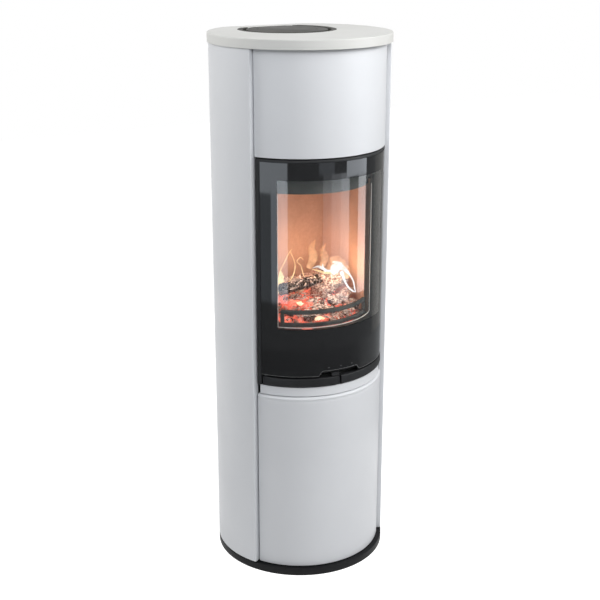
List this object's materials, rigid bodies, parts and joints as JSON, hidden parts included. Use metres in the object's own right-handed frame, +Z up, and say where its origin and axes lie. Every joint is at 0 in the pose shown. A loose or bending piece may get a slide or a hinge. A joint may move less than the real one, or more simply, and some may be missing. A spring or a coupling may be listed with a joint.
{
  "type": "wood stove",
  "caption": "Tall round wood stove in white painted sheet steel, with a curved black-edged glass door, a wood storage door below it and a lift-off cover over the flue outlet in the top.",
  "frame": {"origin": "on the axis of the stove's round casing, at floor level", "axes": "+Z up; the doors face -Y; +X to the right as seen from in front, the side with the door hinges"},
  "size_m": [0.495, 0.46, 1.496],
  "materials": {
    "white_paint": "smooth satin white stove paint",
    "top_paint": "satin warm white stove paint",
    "black_paint": "matt black stove paint",
    "grey_paint": "matt grey stove paint",
    "cast_iron": "sooted cast iron",
    "black_glass": "clear heat-proof glass with a black printed border",
    "bare_steel": "bare zinc-coated steel",
    "lining": "porous fire board",
    "seal_rope": "braided glass-fibre rope"
  },
  "bodies": {
    "stove_body": {"side_panel_left": "white_paint", "side_panel_right": "white_paint", "upper_front_panel": "white_paint", "recess_strip": "white_paint", "top_plate": "top_paint", "base_plate": "black_paint", "flue_pipe": "black_paint", "firebox_shell": "black_paint", "compartment_floor": "black_paint", "magnet_catch": "black_paint", "top_ring": "grey_paint", "flue_collar": "cast_iron", "firebox_front": "cast_iron", "hearth_plate": "cast_iron", "grate": "cast_iron", "log_retainer": "cast_iron", "baffle_upper": "cast_iron", "air_wash_deflector": "cast_iron", "levelling_screw_1": "bare_steel", "levelling_screw_2": "bare_steel", "levelling_screw_3": "bare_steel", "levelling_screw_4": "bare_steel", "upper_front_bracket_left": "bare_steel", "upper_front_bracket_right": "bare_steel", "back_panel": "bare_steel", "rear_outlet_cover": "bare_steel", "rear_heat_shield": "bare_steel", "inner_wall_left": "bare_steel", "inner_wall_right": "bare_steel", "inner_top_plate": "bare_steel", "ash_pan": "bare_steel", "hinge_bracket_top": "bare_steel", "hinge_bracket_middle": "bare_steel", "hinge_pin_top": "bare_steel", "hinge_pin_middle": "bare_steel", "hinge_pin_bottom": "bare_steel", "latch_catch": "bare_steel", "air_box": "bare_steel", "air_duct": "bare_steel", "air_intake_pipe": "bare_steel", "compartment_back": "bare_steel", "compartment_top": "bare_steel", "lining_back": "lining", "lining_left": "lining", "lining_right": "lining", "baffle_lower": "lining"},
    "firebox_door": {"door_frame": "black_paint", "door_glass": "black_glass", "door_seal": "seal_rope", "door_rail": "black_paint", "handle_pin": "bare_steel"},
    "door_handle": {"door_handle": "black_paint", "latch_hook": "bare_steel"},
    "air_control": {"air_valve": "bare_steel", "air_lever": "black_paint"},
    "lower_door": {"lower_door_panel": "white_paint", "lower_door_hinge_bottom": "bare_steel", "lower_door_hinge_top": "bare_steel"},
    "top_cover": {"top_cover": "grey_paint"}
  },
  "joints": [
    {"name": "firebox_door_hinge", "type": "hinge", "parent": "stove_body", "child": "firebox_door", "pos_m": [0.18963, -0.1211, 0.88], "axis": [0, 0, 1], "range_deg": [0, 100]},
    {"name": "door_handle_pivot", "type": "hinge", "parent": "firebox_door", "child": "door_handle", "pos_m": [-0.17559, -0.1342, 0.583], "axis": [0, 0, -1], "range_deg": [0, 14]},
    {"name": "air_lever_swing", "type": "hinge", "parent": "stove_body", "child": "air_control", "pos_m": [0, 0, 0.596], "axis": [0, 0, 1], "range_deg": [-5.25, 12.75]},
    {"name": "lower_door_hinge", "type": "hinge", "parent": "stove_body", "child": "lower_door", "pos_m": [0.18963, -0.1211, 0.28], "axis": [0, 0, 1], "range_deg": [0, 100]},
    {"name": "top_cover_lift", "type": "slide", "parent": "stove_body", "child": "top_cover", "axis": [0, 0, 1], "range_m": [0, 0.15]}
  ]
}
